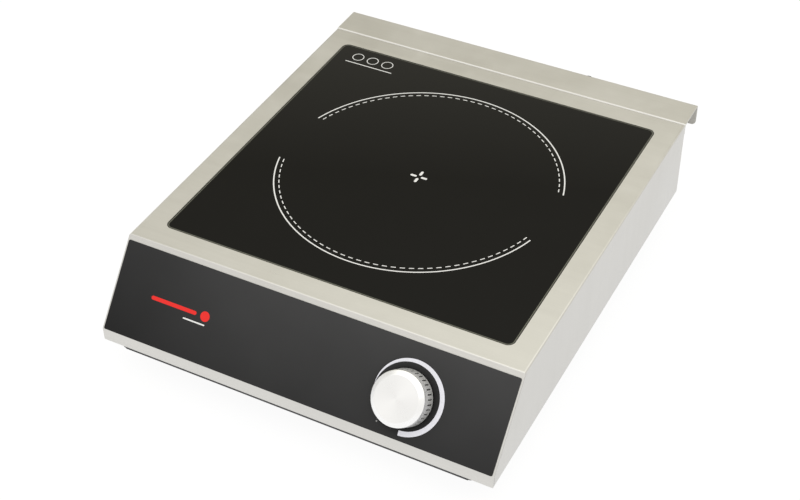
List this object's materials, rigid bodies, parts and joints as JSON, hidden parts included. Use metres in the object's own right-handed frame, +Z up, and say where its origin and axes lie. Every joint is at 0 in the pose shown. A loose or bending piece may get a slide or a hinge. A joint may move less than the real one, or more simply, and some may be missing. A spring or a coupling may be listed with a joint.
{
  "type": "induction hob",
  "caption": "Countertop induction hob: black glass cooking top in a folded steel body with a sloping front, one rotary knob and a channel-shaped rear spacer.",
  "frame": {"origin": "on the top of the glass, at the centre of the cooking zone", "axes": "+X to the user's right, +Y away from the user towards the rear guard, +Z up"},
  "size_m": [0.327, 0.5107, 0.096],
  "materials": {
    "brushed_steel": "satin brushed stainless steel",
    "plain_steel": "plain mill-finish steel sheet",
    "dark_paint": "satin black powder coat",
    "screw_steel": "zinc-plated steel",
    "black_glass": "polished black glass ceramic",
    "sealant": "matte silicone",
    "foam_tape": "closed-cell tape",
    "black_sheet": "fine matte black plastic sheet",
    "black_rubber": "matte black rubber",
    "black_plastic": "moulded black plastic",
    "knob_metal": "turned and satin-finished aluminium",
    "copper_wire": "enamelled copper wire",
    "terminal_brass": "plated brass",
    "carrier_plastic": "heat-resistant moulded plastic",
    "ferrite": "sintered dark grey ferrite",
    "felt": "white ceramic felt",
    "sheet_aluminium": "mill-finish aluminium",
    "circuit_board": "green solder mask",
    "red_film": "epoxy-dipped red",
    "blue_sleeve": "shrunk blue sleeve",
    "yellow_tape": "yellow insulating tape",
    "white_nylon": "white nylon",
    "wire_cores": "insulated wire"
  },
  "bodies": {
    "root": {"body_shell": "brushed_steel", "glass_plate": "black_glass", "glass_seal": "sealant", "glass_frame": "plain_steel", "glass_tape": "foam_tape", "front_overlay": "black_sheet", "rear_panel": "plain_steel", "rear_guard": "brushed_steel", "guard_screws": "screw_steel", "rear_panel_screws": "screw_steel", "base_plate": "dark_paint", "base_screws": "screw_steel", "feet": "black_rubber", "foot_screws": "screw_steel", "foot_nuts": "screw_steel", "coil_winding": "copper_wire", "coil_terminals": "terminal_brass", "coil_carrier": "carrier_plastic", "ferrite_bars": "ferrite", "insulation_felt": "felt", "coil_spacers": "white_nylon", "coil_screws": "screw_steel", "shield_plate": "sheet_aluminium", "shield_posts": "plain_steel", "shield_screws": "screw_steel", "temperature_sensor": "sheet_aluminium", "sensor_spring": "screw_steel", "fan_housing": "black_plastic", "fan_screws": "screw_steel", "power_board": "circuit_board", "board_standoffs": "terminal_brass", "board_screws": "screw_steel", "heatsink": "sheet_aluminium", "power_transistors": "black_plastic", "bridge_rectifier": "black_plastic", "resonant_capacitors": "red_film", "smoothing_capacitor": "blue_sleeve", "toroid_choke": "copper_wire", "auxiliary_transformer": "yellow_tape", "filter_board": "circuit_board", "filter_choke": "copper_wire", "terminal_block": "white_nylon", "fuse_holder": "white_nylon", "mains_wires": "wire_cores", "control_board": "circuit_board", "control_standoffs": "plain_steel", "control_cable": "wire_cores", "control_connector": "white_nylon", "rotary_control": "sheet_aluminium", "control_nut": "screw_steel", "cable_gland": "black_plastic", "gland_nut": "black_plastic", "power_cord": "black_rubber", "mains_plug": "black_rubber", "plug_pins": "terminal_brass"},
    "knob": {"control_shaft": "plain_steel", "control_knob": "knob_metal", "knob_insert": "black_plastic", "knob_grub_screw": "screw_steel"},
    "impeller": {"fan_impeller": "black_plastic"}
  },
  "joints": [
    {"name": "knob_turn", "type": "hinge", "parent": "root", "child": "knob", "pos_m": [0.086, -0.18835, -0.03443], "axis": [0, 0.772, -0.6356], "range_deg": [0, 300]},
    {"name": "fan_spin", "type": "hinge", "parent": "root", "child": "impeller", "pos_m": [-0.08, -0.112, -0.058], "axis": [0, 0, 1], "continuous": true}
  ]
}
